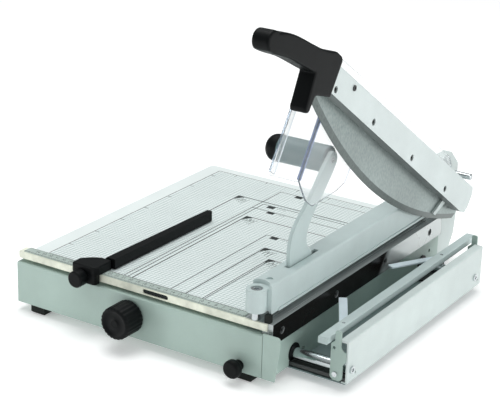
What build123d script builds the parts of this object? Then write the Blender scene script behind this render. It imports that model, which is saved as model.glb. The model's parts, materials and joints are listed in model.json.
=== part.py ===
from build123d import *
from math import acos, cos, pi, radians, sin, tan
import os

# Guillotine paper cutter, millimetres, +Z up.  The layout below is measured from the cutting
# edge: X = 0 on the cutting edge (table to the left), Y = 0 at the back of the front ruler,
# Z = 0 on the table top.  Every piece is shifted by ORIGIN when it is exported, so that the
# shared frame has its origin at the bottom centre of the whole machine.
ORIGIN = (142.9, -195.17, 76.5)

# ---------------------------------------------------------------- driving dimensions
BASE_LEFT, BASE_FRONT, BASE_REAR = -363.0, -18.4, 388.0
BASE_BOTTOM, SHEET, WALL_LEFT = -65.6, 2.0, -350.0
TABLE_LEFT, TABLE_REAR, TABLE_THICK = -352.0, 389.7, 3.0
RULER_FRONT, RULER_BOTTOM, SCALE_THICK = -14.4, -8.8, 1.0
KNIFE_FRONT, KNIFE_REAR, KNIFE_WIDTH, KNIFE_DEPTH = -12.0, 411.0, 38.0, 26.0
FLOOR = -76.5

ARM_ANGLE = 33.0
PIVOT_Y, PIVOT_Z, PIVOT_R = 430.0, 24.0, 6.0
ROD_STOP_Y, ROD_STOP_Z, ROD_STOP_R = 436.0, 51.0, 4.0
BLADE_X, BLADE_THICK, BLADE_RADIUS = 0.05, 4.0, 715.8
BEAM_X0, BEAM_X1 = 4.1, 18.0
HANDLE_X0, HANDLE_X1 = -0.5, 20.5
SCREW_SPOTS = [(-80, 252), (31, 252), (159, 249), (283, 246)]

CLAMP_X0, CLAMP_X1, CLAMP_Z0, CLAMP_Z1 = -36.0, -8.0, 8.0, 42.5
CLAMP_FRONT, CLAMP_REAR, CLAMP_WALL = -4.0, 390.0, 3.0
POST_X, POST_R, BOSS_R, BOSS_TOP, STUB_R = -25.0, 5.3, 12.0, 37.5, 3.5
POST_SPOTS = [-9.0, 392.0]
LEVER_Y, LEVER_Z, LEVER_X0, LEVER_X1 = 79.0, 33.0, -25.0, -20.5
GRIP_Y, GRIP_Z, GRIP_R = 139.0, 147.0, 16.3

GAUGE_X0, GAUGE_X1, GAUGE_LENGTH = -241.0, -229.0, 208.0
THUMB_X, THUMB_Z, THUMB_R = -257.5, -2.9, 10.3

BAR_X0, BAR_X1, BAR_Z0, BAR_Z1 = 42.0, 54.0, -19.0, -11.0
PULL_FRONT, PULL_REAR, PULL_X = 26.0, 376.0, 75.0
BAR_FRONT, BAR_REAR = 17.4, 394.0
ROD_SPOTS, ROD_Z, ROD_R = [(36.0, 1), (357.0, -1)], -51.5, 7.0
RACK_OFFSET, RACK_WIDTH = 15.0, 9.0
MODULE, TEETH = 1.5, 24
KNOB_X, KNOB_Z, KNOB_R = -191.7, -38.0, 20.4
LOCK_X, LOCK_Z, LOCK_R = -39.0, -57.0, 10.9
RUNNING = 0.05

parts = {}


def keep(label, solid):
    solid.label = label
    parts[label] = solid


def beside(rod_y, inward, near, far):
    """Low and high Y of a stretch beside a guide rod, measured from the rod towards the middle."""
    return sorted((rod_y + inward * near, rod_y + inward * far))


def side_plane(x):
    """World Y and Z as the sketch axes, facing +X."""
    return Plane(origin=(x, 0, 0), x_dir=(0, 1, 0), z_dir=(1, 0, 0))


def arm_plane(x):
    """Sketch axes along the raised arm (front to rear) and square to it, facing +X."""
    c, s = cos(radians(ARM_ANGLE)), sin(radians(ARM_ANGLE))
    return Plane(origin=(x, 0, 0), x_dir=(0, c, -s), z_dir=(1, 0, 0))


def front_plane(y):
    """World X and Z as the sketch axes, facing -Y."""
    return Plane(origin=(0, y, 0), x_dir=(1, 0, 0), z_dir=(0, -1, 0))


def to_arm(y, z):
    c, s = cos(radians(ARM_ANGLE)), sin(radians(ARM_ANGLE))
    return (c * y - s * z, s * y + c * z)


def block(x0, x1, y0, y1, z0, z1):
    """Add a box between two corners to the part being built."""
    with Locations(((x0 + x1) / 2, (y0 + y1) / 2, (z0 + z1) / 2)):
        Box(x1 - x0, y1 - y0, z1 - z0)


def cut_block(x0, x1, y0, y1, z0, z1):
    with Locations(((x0 + x1) / 2, (y0 + y1) / 2, (z0 + z1) / 2)):
        Box(x1 - x0, y1 - y0, z1 - z0, mode=Mode.SUBTRACT)


def pin_x(x0, x1, y, z, r, mode=Mode.ADD):
    with Locations(Location(((x0 + x1) / 2, y, z), (0, 90, 0))):
        Cylinder(r, x1 - x0, mode=mode)


def pin_y(y0, y1, x, z, r, mode=Mode.ADD):
    with Locations(Location((x, (y0 + y1) / 2, z), (90, 0, 0))):
        Cylinder(r, y1 - y0, mode=mode)


def pin_z(z0, z1, x, y, r, mode=Mode.ADD):
    with Locations((x, y, (z0 + z1) / 2)):
        Cylinder(r, z1 - z0, mode=mode)


PIVOT_U, PIVOT_N = to_arm(PIVOT_Y, PIVOT_Z)

# ---------------------------------------------------------------- base
with BuildPart() as front_panel:
    block(BASE_LEFT, -9.6, BASE_FRONT, BASE_FRONT + SHEET, BASE_BOTTOM, -13.0)
    block(BASE_LEFT, -15.0, BASE_FRONT, -2.0, -15.0, -13.0)
    block(BASE_LEFT, -9.6, BASE_FRONT, BASE_FRONT + 4.0, -15.0, -13.0)
    block(BASE_LEFT, -9.6, BASE_FRONT, 4.0, BASE_BOTTOM, BASE_BOTTOM + SHEET)
    block(BASE_LEFT, BASE_LEFT + SHEET, BASE_FRONT, 3.0, BASE_BOTTOM, -13.0)
    fillet(front_panel.edges().filter_by(Axis.X).filter_by_position(Axis.Z, -13.1, -12.9)
           .filter_by_position(Axis.Y, BASE_FRONT - 0.1, BASE_FRONT + 0.1), 1.8)
    pin_y(BASE_FRONT - 1, BASE_FRONT + 3, KNOB_X, KNOB_Z, 8.0, Mode.SUBTRACT)
    pin_y(BASE_FRONT - 1, BASE_FRONT + 3, LOCK_X, LOCK_Z, 4.0 + RUNNING, Mode.SUBTRACT)
keep("front_panel", front_panel.part)

with BuildPart() as base_walls:
    block(WALL_LEFT, WALL_LEFT + SHEET, 4.2, BASE_REAR, BASE_BOTTOM, -3.1)
    block(WALL_LEFT, -2.6, BASE_REAR - SHEET, BASE_REAR, BASE_BOTTOM, -3.1)
    block(WALL_LEFT, WALL_LEFT + 26, 4.1, BASE_REAR, BASE_BOTTOM, BASE_BOTTOM + SHEET)
    block(WALL_LEFT, -20.1, BASE_REAR - 18, BASE_REAR, BASE_BOTTOM, BASE_BOTTOM + SHEET)
    block(WALL_LEFT, WALL_LEFT + 14, 4.2, BASE_REAR, -5.1, -3.1)
    block(WALL_LEFT, -39, BASE_REAR - 14, BASE_REAR, -5.1, -3.1)
    cut_block(-39, -2, BASE_REAR - 30, BASE_REAR + 1, -27.0, -1.0)
    cut_block(-21, -2, BASE_REAR - 30, BASE_REAR + 1, BASE_BOTTOM - 1, -20)
keep("base_walls", base_walls.part)

with BuildPart() as side_panel:
    block(-2.5, -0.5, BASE_FRONT + SHEET + 0.1, 402.5, BASE_BOTTOM, -26.1)
    for rod_y, inward in ROD_SPOTS:
        pin_x(-4, 1, rod_y, ROD_Z, 10.0 + RUNNING, Mode.SUBTRACT)
        cut_block(-4, 1, *beside(rod_y, inward, -9.5, 25.5), -66, -59.4)
        cut_block(-4, 1, *beside(rod_y, inward, RACK_OFFSET - 1.0, RACK_OFFSET + RACK_WIDTH + 1.0), -62, -53.0)
    pin_x(-4, 1, 378.0, -40.0, 2.6, Mode.SUBTRACT)
keep("side_panel", side_panel.part)

with BuildPart() as ear_plate:
    with BuildSketch(front_plane(BASE_FRONT)):
        with BuildLine():
            Polyline((-9.0, BASE_BOTTOM), (-9.0, -10.5), (13.2, -10.5), (13.2, -24), (7.6, BASE_BOTTOM),
                     (-9.0, BASE_BOTTOM))
        make_face()
    extrude(amount=-SHEET)
    fillet(ear_plate.edges().filter_by(Axis.Y).filter_by_position(Axis.X, 13.0, 14.0)
           .filter_by_position(Axis.Z, -11.0, -10.0), 4.0)
    block(-9.0, -3.0, BASE_FRONT + SHEET, 4.0, BASE_BOTTOM, BASE_BOTTOM + SHEET)
keep("ear_plate", ear_plate.part)

with BuildPart() as table_plate:
    block(TABLE_LEFT, -KNIFE_WIDTH - 0.2, 0.0, TABLE_REAR, -TABLE_THICK, 0.0)
    fillet(table_plate.edges().filter_by(Axis.Z)
           .filter_by_position(Axis.X, TABLE_LEFT - 1, TABLE_LEFT + 1), 7.0)
    fillet(table_plate.edges().filter_by_position(Axis.Z, -0.01, 0.01), 0.6)
keep("table_plate", table_plate.part)

with BuildPart() as front_ruler:
    block(BASE_LEFT, -7.0, RULER_FRONT, -0.3, RULER_BOTTOM, -0.1)
    cut_block(-KNIFE_WIDTH - 0.2, -6.0, KNIFE_FRONT - 0.1, 1.0, -12.0, 1.0)
    with BuildSketch(front_plane(RULER_FRONT)):
        with Locations((-159.0, -4.4)):
            SlotOverall(36, 5.6)
    extrude(amount=-6, mode=Mode.SUBTRACT)
keep("front_ruler", front_ruler.part)

with BuildPart() as ruler_scale:
    block(-356.0, -KNIFE_WIDTH - 0.3, RULER_FRONT + 1.0, -0.4, 0.0, SCALE_THICK)
keep("ruler_scale", ruler_scale.part)

with BuildPart() as bed_knife:
    block(-KNIFE_WIDTH, 0.0, KNIFE_FRONT, KNIFE_REAR, -10.0, 0.0)
    block(-14.0, 0.0, KNIFE_FRONT, KNIFE_REAR, -KNIFE_DEPTH, -9.0)
    fillet(bed_knife.edges().filter_by(Axis.Z).filter_by_position(Axis.Y, KNIFE_REAR - 1, KNIFE_REAR + 1)
           .filter_by_position(Axis.X, -0.1, 0.1), 3.0)
    for post_y in POST_SPOTS:
        pin_z(-12, 1, POST_X, post_y + 1.5, STUB_R + RUNNING, Mode.SUBTRACT)
    for screw_y in (8.0, 130.0, 252.0, 374.0):
        pin_x(-6.0, 1.0, screw_y, -13.0, 4.6, Mode.SUBTRACT)
        pin_x(-12.0, 1.0, screw_y, -13.0, 2.6, Mode.SUBTRACT)
keep("bed_knife", bed_knife.part)

with BuildPart() as knife_screws:
    for screw_y in (8.0, 130.0, 252.0, 374.0):
        pin_x(-5.9, -1.2, screw_y, -13.0, 4.5)
        pin_x(-11.5, -5.9, screw_y, -13.0, 2.55)
        with BuildSketch(side_plane(-1.2)):
            with Locations((screw_y, -13.0)):
                RegularPolygon(2.2, 6)
        extrude(amount=-2.2, mode=Mode.SUBTRACT)
keep("knife_screws", knife_screws.part)

with BuildPart() as knife_buffer:
    block(-12.4, -5.0, KNIFE_FRONT, CLAMP_FRONT - 0.5, 0.0, 9.0)
    fillet(knife_buffer.edges().filter_by(Axis.Z), 1.5)
keep("knife_buffer", knife_buffer.part)

FOOT_SPOTS = [(-334.0, -6.5), (-34.5, -6.5), (-334.0, 375.0), (-9.0, 414.0)]
with BuildPart() as feet:
    for foot_x, foot_y in FOOT_SPOTS:
        with Locations((foot_x, foot_y, (FLOOR + BASE_BOTTOM) / 2)):
            Box(21, 19, BASE_BOTTOM - FLOOR)
    chamfer(feet.edges().filter_by_position(Axis.Z, FLOOR - 0.1, FLOOR + 0.1), 1.6)
    for foot_x, foot_y in FOOT_SPOTS:
        pin_z(FLOOR - 1, FLOOR + 3.5, foot_x, foot_y, 4.2, Mode.SUBTRACT)
        pin_z(FLOOR - 1, BASE_BOTTOM + 1, foot_x, foot_y, 2.05, Mode.SUBTRACT)
keep("feet", feet.part)

with BuildPart() as foot_screws:
    for foot_x, foot_y in FOOT_SPOTS:
        pin_z(FLOOR + 1.0, FLOOR + 3.4, foot_x, foot_y, 3.8)
        pin_z(FLOOR + 3.3, BASE_BOTTOM - 0.05, foot_x, foot_y, 2.0)
keep("foot_screws", foot_screws.part)

# ---------------------------------------------------------------- rear hinge bracket
with BuildPart() as rear_bracket:
    with BuildSketch(side_plane(-20.0)):
        with BuildLine():
            Polyline((411.4, -26.4), (411.4, 79), (440, 79), (464, 57), (467, -16), (437, -56),
                     (430, BASE_BOTTOM), (372, BASE_BOTTOM), (372, -26.4), (411.4, -26.4))
        make_face()
    extrude(amount=11.5)
    fillet(rear_bracket.edges().filter_by(Axis.X).filter_by_position(Axis.Z, 56, 80), 9.0)
    with BuildSketch(side_plane(-8.6)):
        with BuildLine():
            Polyline((403.0, -26.4), (411.4, -26.4), (411.4, -3), (455, -3), (449, -38), (430, BASE_BOTTOM),
                     (403.0, BASE_BOTTOM), (403.0, -26.4))
        make_face()
    extrude(amount=7.6)
    block(-30.0, -19.9, 412.0, 424.0, BASE_BOTTOM, 8.0)
    pin_x(-40, 5, PIVOT_Y, PIVOT_Z, PIVOT_R + RUNNING, Mode.SUBTRACT)
    pin_x(-30, 5, ROD_STOP_Y, ROD_STOP_Z, ROD_STOP_R + RUNNING, Mode.SUBTRACT)
    for bolt_y in (380.0, 395.0):
        pin_z(BASE_BOTTOM - 1, -38.0, -13.5, bolt_y, 5.1, Mode.SUBTRACT)
        pin_z(BASE_BOTTOM - 1, -20.0, -13.5, bolt_y, 3.05, Mode.SUBTRACT)
keep("rear_bracket", rear_bracket.part)

with BuildPart() as bracket_screws:
    for bolt_y in (380.0, 395.0):
        pin_z(-44.0, -38.1, -13.5, bolt_y, 5.0)
        pin_z(-38.1, -26.5, -13.5, bolt_y, 3.0)
keep("bracket_screws", bracket_screws.part)

with BuildPart() as pivot_bolt:
    pin_x(-20.1, 15.0, PIVOT_Y, PIVOT_Z, PIVOT_R)
    with BuildSketch(side_plane(-20.1)):
        with Locations((PIVOT_Y, PIVOT_Z)):
            RegularPolygon(10.5, 6)
    extrude(amount=-8.0)
    chamfer(pivot_bolt.edges().filter_by_position(Axis.X, 14.9, 15.1), 1.0)
keep("pivot_bolt", pivot_bolt.part)

with BuildPart() as pivot_washers:
    for x0, x1 in ((-8.45, -7.6), (-3.2, -0.05)):
        pin_x(x0, x1, PIVOT_Y, PIVOT_Z, 13.0)
        pin_x(x0 - 1, x1 + 1, PIVOT_Y, PIVOT_Z, PIVOT_R + RUNNING, Mode.SUBTRACT)
keep("pivot_washers", pivot_washers.part)

with BuildPart() as stop_pin:
    pin_x(-24.0, 25.0, ROD_STOP_Y, ROD_STOP_Z, ROD_STOP_R)
    chamfer(stop_pin.edges().filter_by_position(Axis.X, 24.9, 25.1), 0.9)
keep("stop_pin", stop_pin.part)

# ---------------------------------------------------------------- blade arm
with BuildPart() as arm_beam:
    beam_start = arm_plane(0).from_local_coords((-101, 0, 0))
    with BuildSketch(Plane(origin=beam_start, x_dir=(1, 0, 0), z_dir=-arm_plane(0).x_dir)):
        with BuildLine():
            Polyline((BEAM_X0, 230), (BEAM_X1, 230), (BEAM_X1, 275), (16.5, 280), (BEAM_X0, 280),
                     (BEAM_X0, 230))
        make_face()
    extrude(amount=-475)
    with BuildSketch(arm_plane(BEAM_X0 - 1)):
        with BuildLine():
            Polyline((-101, 245.5), (355, 235.5), (367, 238), (372, 247), (374.5, 266), (370, 274),
                     (-101, 277.2), (-101, 245.5))
        make_face()
    extrude(amount=BEAM_X1 - BEAM_X0 + 2, mode=Mode.INTERSECT)
    pin_x(BEAM_X0 - 1, 15.6, PIVOT_Y, PIVOT_Z, 9.0 + RUNNING, Mode.SUBTRACT)
    with BuildSketch(arm_plane(BEAM_X1 - 6.2)):
        with Locations((-41.0, 268.0)):
            Circle(2.55)
    extrude(amount=8.0, mode=Mode.SUBTRACT)
    for u, n in SCREW_SPOTS:
        with BuildSketch(arm_plane(BEAM_X1 + 1)):
            with Locations((u, n)):
                Circle(4.1)
        extrude(amount=-6.0, mode=Mode.SUBTRACT)
        with BuildSketch(arm_plane(BEAM_X1 + 1)):
            with Locations((u, n)):
                Circle(2.55)
        extrude(amount=-20.0, mode=Mode.SUBTRACT)
keep("arm_beam", arm_beam.part)

blade_u, blade_low = 143.0, 190.0
with BuildPart() as blade:
    with BuildSketch(arm_plane(BLADE_X)):
        with Locations((blade_u, blade_low + BLADE_RADIUS)):
            Circle(BLADE_RADIUS)
        with Locations(((-96.0 + 372.0) / 2, (180.0 + 272.0) / 2)):
            Rectangle(468.0, 92.0, mode=Mode.INTERSECT)
    extrude(amount=BLADE_THICK)
    arc_centre = arm_plane(0).from_local_coords((blade_u, blade_low + BLADE_RADIUS, 0))
    down_arm = Vector(0, -sin(radians(ARM_ANGLE)), -cos(radians(ARM_ANGLE)))
    with BuildSketch(Plane(origin=arc_centre, x_dir=(1, 0, 0), z_dir=Vector(1, 0, 0).cross(down_arm))):
        with BuildLine():
            Polyline((4.2, BLADE_RADIUS - 7.4), (4.2, BLADE_RADIUS + 1), (0.8, BLADE_RADIUS + 1),
                     (4.2, BLADE_RADIUS - 7.4))
        make_face()
    revolve(axis=Axis(arc_centre, (1, 0, 0)), revolution_arc=360, mode=Mode.SUBTRACT)
    pin_x(-1, 6, PIVOT_Y, PIVOT_Z, 9.0 + RUNNING, Mode.SUBTRACT)
    for u, n in SCREW_SPOTS:
        with BuildSketch(arm_plane(-1)):
            with Locations((u, n)):
                Circle(2.55)
        extrude(amount=6, mode=Mode.SUBTRACT)
keep("blade", blade.part)

with BuildPart() as blade_screws:
    for u, n in SCREW_SPOTS:
        with BuildSketch(arm_plane(13.1)):
            with Locations((u, n)):
                Circle(4.0)
                RegularPolygon(2.1, 6, mode=Mode.SUBTRACT)
        extrude(amount=3.6)
        with BuildSketch(arm_plane(0.6)):
            with Locations((u, n)):
                Circle(2.5)
        extrude(amount=13.2)
keep("blade_screws", blade_screws.part)

with BuildPart() as pivot_bush:
    pin_x(0.1, 15.5, PIVOT_Y, PIVOT_Z, 9.0)
    pin_x(-1, 15.1, PIVOT_Y, PIVOT_Z, PIVOT_R + RUNNING, Mode.SUBTRACT)
keep("pivot_bush", pivot_bush.part)

with BuildPart() as blade_rib:
    with BuildSketch(arm_plane(4.1)):
        with BuildLine():
            Polyline((296, 213.5), (303.5, 213.5), (322, 236.0), (312, 236.2), (296, 213.5))
        make_face()
    extrude(amount=3.2)
keep("blade_rib", blade_rib.part)

with BuildPart() as handle:
    with BuildSketch(arm_plane(HANDLE_X0)):
        with BuildLine():
            top = Spline((-112, 285), (-123, 281), (-148, 276), (-171, 273), (-194, 270), (-213, 266),
                         (-234, 258))
            tip = ThreePointArc(top @ 1, (-249.5, 246), (-240, 235.5))
            under = Spline(tip @ 1, (-229, 237), (-199, 243.5), (-176, 246.5), (-152, 249), (-138.5, 250.5))
            Polyline(under @ 1, (-134, 215))
            base = ThreePointArc((-134, 215), (-128.5, 208), (-123.5, 215))
            Polyline(base @ 1, (-122, 229), (-117, 232), (-90, 239.5), (-89, 282), (-93, 286), (-106, 286.5),
                     (-112, 285))
        make_face()
    extrude(amount=HANDLE_X1 - HANDLE_X0)
    fillet(handle.faces().sort_by(Axis.X)[0].edges(), 2.5)
    fillet(handle.faces().sort_by(Axis.X)[-1].edges(), 1.8)
    with BuildSketch(arm_plane(0.0)):
        with BuildLine():
            Polyline((-103, 225), (-88, 225), (-88, 277.5), (-103, 277.5), (-103, 225))
        make_face()
    extrude(amount=BEAM_X1 + 0.1, mode=Mode.SUBTRACT)
keep("handle", handle.part)

with BuildPart() as arm_set_screw:
    with BuildSketch(arm_plane(BEAM_X1 + 0.05)):
        with Locations((-41.0, 268.0)):
            Circle(3.4)
            RegularPolygon(1.8, 6, mode=Mode.SUBTRACT)
    extrude(amount=1.2)
    with BuildSketch(arm_plane(BEAM_X1 - 6.0)):
        with Locations((-41.0, 268.0)):
            Circle(2.5)
    extrude(amount=6.05)
keep("arm_set_screw", arm_set_screw.part)

# ---------------------------------------------------------------- clear guard
GUARD_FRONT = -51.0
with BuildPart() as blade_guard:
    with BuildSketch(arm_plane(-7.3)):
        with BuildLine():
            Polyline((GUARD_FRONT, 291), (GUARD_FRONT, 150), (GUARD_FRONT + 12, 144), (-22, 135.5), (-4, 134.5), (40, 166), (54, 180),
                     (56, 198), (80, 216), (325, 240), (PIVOT_U, PIVOT_N - 15), (PIVOT_U + 12, PIVOT_N - 9),
                     (PIVOT_U + 12, PIVOT_N + 9), (PIVOT_U, PIVOT_N + 15), (332, 273), (331, 288),
                     (318, 296.5), (GUARD_FRONT + 5.5, 296.5), (GUARD_FRONT, 291))
        make_face()
    extrude(amount=4.0)
    with BuildSketch(arm_plane(-43.0)):
        with BuildLine():
            Polyline((GUARD_FRONT, 149), (GUARD_FRONT + 4, 149), (GUARD_FRONT + 4, 236), (GUARD_FRONT, 236),
                     (GUARD_FRONT, 149))
        make_face()
    extrude(amount=36.0)
    with BuildSketch(arm_plane(-47.0)):
        with BuildLine():
            Polyline((GUARD_FRONT, 153), (GUARD_FRONT + 12.5, 153), (GUARD_FRONT + 12.5, 232), (GUARD_FRONT, 232),
                     (GUARD_FRONT, 153))
        make_face()
    extrude(amount=4.0)
    pin_x(-10, 0, PIVOT_Y, PIVOT_Z, PIVOT_R + RUNNING, Mode.SUBTRACT)
keep("blade_guard", blade_guard.part)

# ---------------------------------------------------------------- paper clamp
with BuildPart() as clamp_bar:
    block(CLAMP_X0, CLAMP_X1, CLAMP_FRONT, CLAMP_REAR, CLAMP_Z0, CLAMP_Z1)
    fillet(clamp_bar.edges().filter_by(Axis.Y)
           .filter_by_position(Axis.Z, CLAMP_Z1 - 0.1, CLAMP_Z1 + 0.1), 2.5)
    for post_y in POST_SPOTS:
        pin_z(BOSS_TOP, CLAMP_Z1 + 1, POST_X, post_y, BOSS_R + 2.6, Mode.SUBTRACT)
        pin_z(CLAMP_Z0 + 3, BOSS_TOP, POST_X, post_y, BOSS_R)
    cut_block(CLAMP_X0 + CLAMP_WALL, CLAMP_X1 - CLAMP_WALL, 10, 370, CLAMP_Z0 - 1, CLAMP_Z1 - CLAMP_WALL)
    cut_block(CLAMP_X0 - 3, CLAMP_X1 - CLAMP_WALL, CLAMP_FRONT - 1, CLAMP_FRONT + 9, CLAMP_Z0 - 1, CLAMP_Z0 + 3)
    cut_block(CLAMP_X0 - 3, CLAMP_X1 - CLAMP_WALL, CLAMP_REAR - 9, CLAMP_REAR + 1, CLAMP_Z0 - 1, CLAMP_Z0 + 3)
    cut_block(LEVER_X0 - 1.0, LEVER_X1 + 1.0, LEVER_Y - 29, LEVER_Y + 38, CLAMP_Z1 - 6, CLAMP_Z1 + 1)
    block(CLAMP_X1 - 0.5, CLAMP_X1 + 1.6, 10, 372, CLAMP_Z0, CLAMP_Z0 + 3.0)
    for post_y in POST_SPOTS:
        pin_z(0, BOSS_TOP - 8, POST_X, post_y, POST_R + RUNNING, Mode.SUBTRACT)
        pin_z(BOSS_TOP - 4.5, BOSS_TOP + 1, POST_X, post_y, 7.0, Mode.SUBTRACT)
        pin_z(BOSS_TOP - 10, BOSS_TOP + 1, POST_X, post_y, 3.1, Mode.SUBTRACT)
    pin_x(CLAMP_X0 - 1, CLAMP_X1 - 1.2, LEVER_Y, LEVER_Z, 4.05, Mode.SUBTRACT)
    pin_z(CLAMP_Z1 - 2, CLAMP_Z1 + 1, -21.5, 12.0, 4.0, Mode.SUBTRACT)
keep("clamp_bar", clamp_bar.part)

with BuildPart() as clamp_posts:
    for post_y in POST_SPOTS:
        pin_z(0.0, 23.0, POST_X, post_y, POST_R)
        pin_z(-9.9, 0.0, POST_X, post_y + 1.5, STUB_R)
        pin_z(13.0, 24.0, POST_X, post_y, 3.05, Mode.SUBTRACT)
keep("clamp_posts", clamp_posts.part)

with BuildPart() as clamp_screws:
    for post_y in POST_SPOTS:
        pin_z(BOSS_TOP - 4.0, BOSS_TOP - 0.6, POST_X, post_y, 6.4)
        pin_z(14.0, BOSS_TOP - 4.0, POST_X, post_y, 3.0)
        with BuildSketch(Plane.XY.offset(BOSS_TOP - 0.6)):
            with Locations((POST_X, post_y)):
                RegularPolygon(3.2, 6)
        extrude(amount=-2.4, mode=Mode.SUBTRACT)
keep("clamp_screws", clamp_screws.part)

with BuildPart() as lever_pin:
    pin_x(CLAMP_X0 + 0.3, CLAMP_X1 - 1.3, LEVER_Y, LEVER_Z, 4.0)
keep("lever_pin", lever_pin.part)

with BuildPart() as lever_spacers:
    for x0, x1 in ((CLAMP_X0 + CLAMP_WALL + 0.1, LEVER_X0 - 0.1),
                   (LEVER_X1 + 0.1, CLAMP_X1 - CLAMP_WALL - 0.1)):
        pin_x(x0, x1, LEVER_Y, LEVER_Z, 5.5)
        pin_x(x0 - 1, x1 + 1, LEVER_Y, LEVER_Z, 4.0 + RUNNING, Mode.SUBTRACT)
keep("lever_spacers", lever_spacers.part)

with BuildPart() as lever_plate:
    with BuildSketch(side_plane(LEVER_X0)):
        with Locations((LEVER_Y, LEVER_Z)):
            Circle(25.5)
        with Locations((GRIP_Y, GRIP_Z)):
            Circle(10.5)
        with BuildLine():
            front_edge = Spline((53.6, 40), (52.6, 60), (55.5, 76), (64, 89), (82, 104), (108, 131),
                                (130.5, 153.3))
            Line(front_edge @ 1, (147.0, 140.2))
            rear_edge = Spline((147.0, 140.2), (122, 113), (101, 91), (90.5, 76), (88.5, 64), (94, 53),
                               (103.6, 42))
            Line(rear_edge @ 1, front_edge @ 0)
        make_face()
    extrude(amount=LEVER_X1 - LEVER_X0)
    pin_x(LEVER_X0 - 1, LEVER_X1 + 1, LEVER_Y, LEVER_Z, 4.0 + RUNNING, Mode.SUBTRACT)
    pin_x(LEVER_X0 - 1, LEVER_X1 + 1, GRIP_Y, GRIP_Z, 4.0 + RUNNING, Mode.SUBTRACT)
keep("lever_plate", lever_plate.part)

GRIP_X0 = -88.0
with BuildPart() as lever_grip:
    pin_x(GRIP_X0, LEVER_X0 - 0.1, GRIP_Y, GRIP_Z, GRIP_R)
    pin_x(GRIP_X0 - 1, LEVER_X0, GRIP_Y, GRIP_Z, 4.0 + RUNNING, Mode.SUBTRACT)
    chamfer(lever_grip.edges().filter_by_position(Axis.X, LEVER_X0 - 0.2, LEVER_X0)
            .sort_by(SortBy.LENGTH)[-1], 0.8)
keep("lever_grip", lever_grip.part)

with BuildPart() as grip_rod:
    pin_x(GRIP_X0 - 6.0, LEVER_X1 + 0.6, GRIP_Y, GRIP_Z, 4.0)
    chamfer(grip_rod.edges().filter_by_position(Axis.X, LEVER_X1 + 0.5, LEVER_X1 + 0.7), 0.5)
keep("grip_rod", grip_rod.part)

with BuildPart() as grip_cap:
    pin_x(GRIP_X0 - 19.0, GRIP_X0 - 0.1, GRIP_Y, GRIP_Z, GRIP_R + 0.3)
    fillet(grip_cap.edges().filter_by_position(Axis.X, GRIP_X0 - 19.1, GRIP_X0 - 18.9), 13.0)
    pin_x(GRIP_X0 - 6.5, GRIP_X0 + 1, GRIP_Y, GRIP_Z, 4.0 + RUNNING, Mode.SUBTRACT)
keep("grip_cap", grip_cap.part)

# ---------------------------------------------------------------- back gauge on the ruler
with BuildPart() as gauge_bar:
    with BuildSketch(Plane.XY.offset(1.6)):
        with BuildLine():
            Polyline((GAUGE_X0, GAUGE_LENGTH), (GAUGE_X1, GAUGE_LENGTH), (GAUGE_X1 - 3.5, 6.1),
                     (GAUGE_X0 - 7.3, 6.1), (GAUGE_X0, GAUGE_LENGTH))
        make_face()
    extrude(amount=12.4)
    chamfer(gauge_bar.faces().sort_by(Axis.Z)[-1].edges().sort_by(Axis.X)[0], 3.5)
    fillet(gauge_bar.edges().filter_by(Axis.Z).group_by(Axis.Y)[-1], 2.5)
keep("gauge_bar", gauge_bar.part)

with BuildPart() as gauge_head:
    with BuildSketch(Plane.XY.offset(-9.5)):
        with Locations((-254.5, -20.9)):
            RectangleRounded(34.0, 12.2, 4.0)
    extrude(amount=12.0)
    with BuildSketch(Plane.XY.offset(1.4)):
        with BuildLine():
            Polyline((-272, -26.9), (-240, -26.9), (-236.5, -20), (-236.5, 6), (-252, 6), (-262, 0), (-272, -10),
                     (-272, -26.9))
        make_face()
        fillet(vertices(), 3.5)
    extrude(amount=11.0)
    fillet(gauge_head.faces().sort_by(Axis.Z)[-1].edges(), 2.0)
    pin_y(-30, -10, THUMB_X, THUMB_Z, 3.0 + RUNNING, Mode.SUBTRACT)
keep("gauge_head", gauge_head.part)

with BuildPart() as gauge_stud:
    pin_y(-35.0, -14.7, THUMB_X, THUMB_Z, 3.0)
keep("gauge_stud", gauge_stud.part)

with BuildPart() as gauge_knob:
    pin_y(-40.0, -27.3, THUMB_X, THUMB_Z, THUMB_R)
    fillet(gauge_knob.edges().filter_by_position(Axis.Y, -40.1, -39.9), 2.5)
    pin_y(-35.2, -27.0, THUMB_X, THUMB_Z, 3.0 + RUNNING, Mode.SUBTRACT)
keep("gauge_knob", gauge_knob.part)

# ---------------------------------------------------------------- pull-out strip gauge
SWIVELS = [(62.0, 1), (311.0, -1)]
SWIVEL_Z0, SWIVEL_Z1, SWIVEL_LENGTH, SWIVEL_ANGLE, SWIVEL_X = -16.0, -14.0, 76.0, 60.0, 48.0
with BuildPart() as stop_bar:
    block(BAR_X0, BAR_X1, BAR_FRONT, BAR_REAR, BAR_Z0, BAR_Z1)
    fillet(stop_bar.edges().filter_by(Axis.Y), 0.6)
    for swivel_y, way in SWIVELS:
        ends = sorted((swivel_y - way * 8.0, swivel_y + way * (SWIVEL_LENGTH + 8.0)))
        cut_block(BAR_X0 - 1, BAR_X1 - 0.8, ends[0], ends[1], SWIVEL_Z0 - 0.3, SWIVEL_Z1 + 0.3)
        pin_z(BAR_Z0 - 1, BAR_Z1 + 1, SWIVEL_X, swivel_y, 2.0 + RUNNING, Mode.SUBTRACT)
keep("stop_bar", stop_bar.part)

with BuildPart() as bar_caps:
    block(BAR_X0, BAR_X1, BAR_FRONT - 2.4, BAR_FRONT - 0.1, BAR_Z0, BAR_Z1)
    block(BAR_X0, BAR_X1, BAR_REAR + 0.1, BAR_REAR + 2.4, BAR_Z0, BAR_Z1)
    fillet(bar_caps.edges().filter_by(Axis.Y), 0.6)
keep("bar_caps", bar_caps.part)

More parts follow.
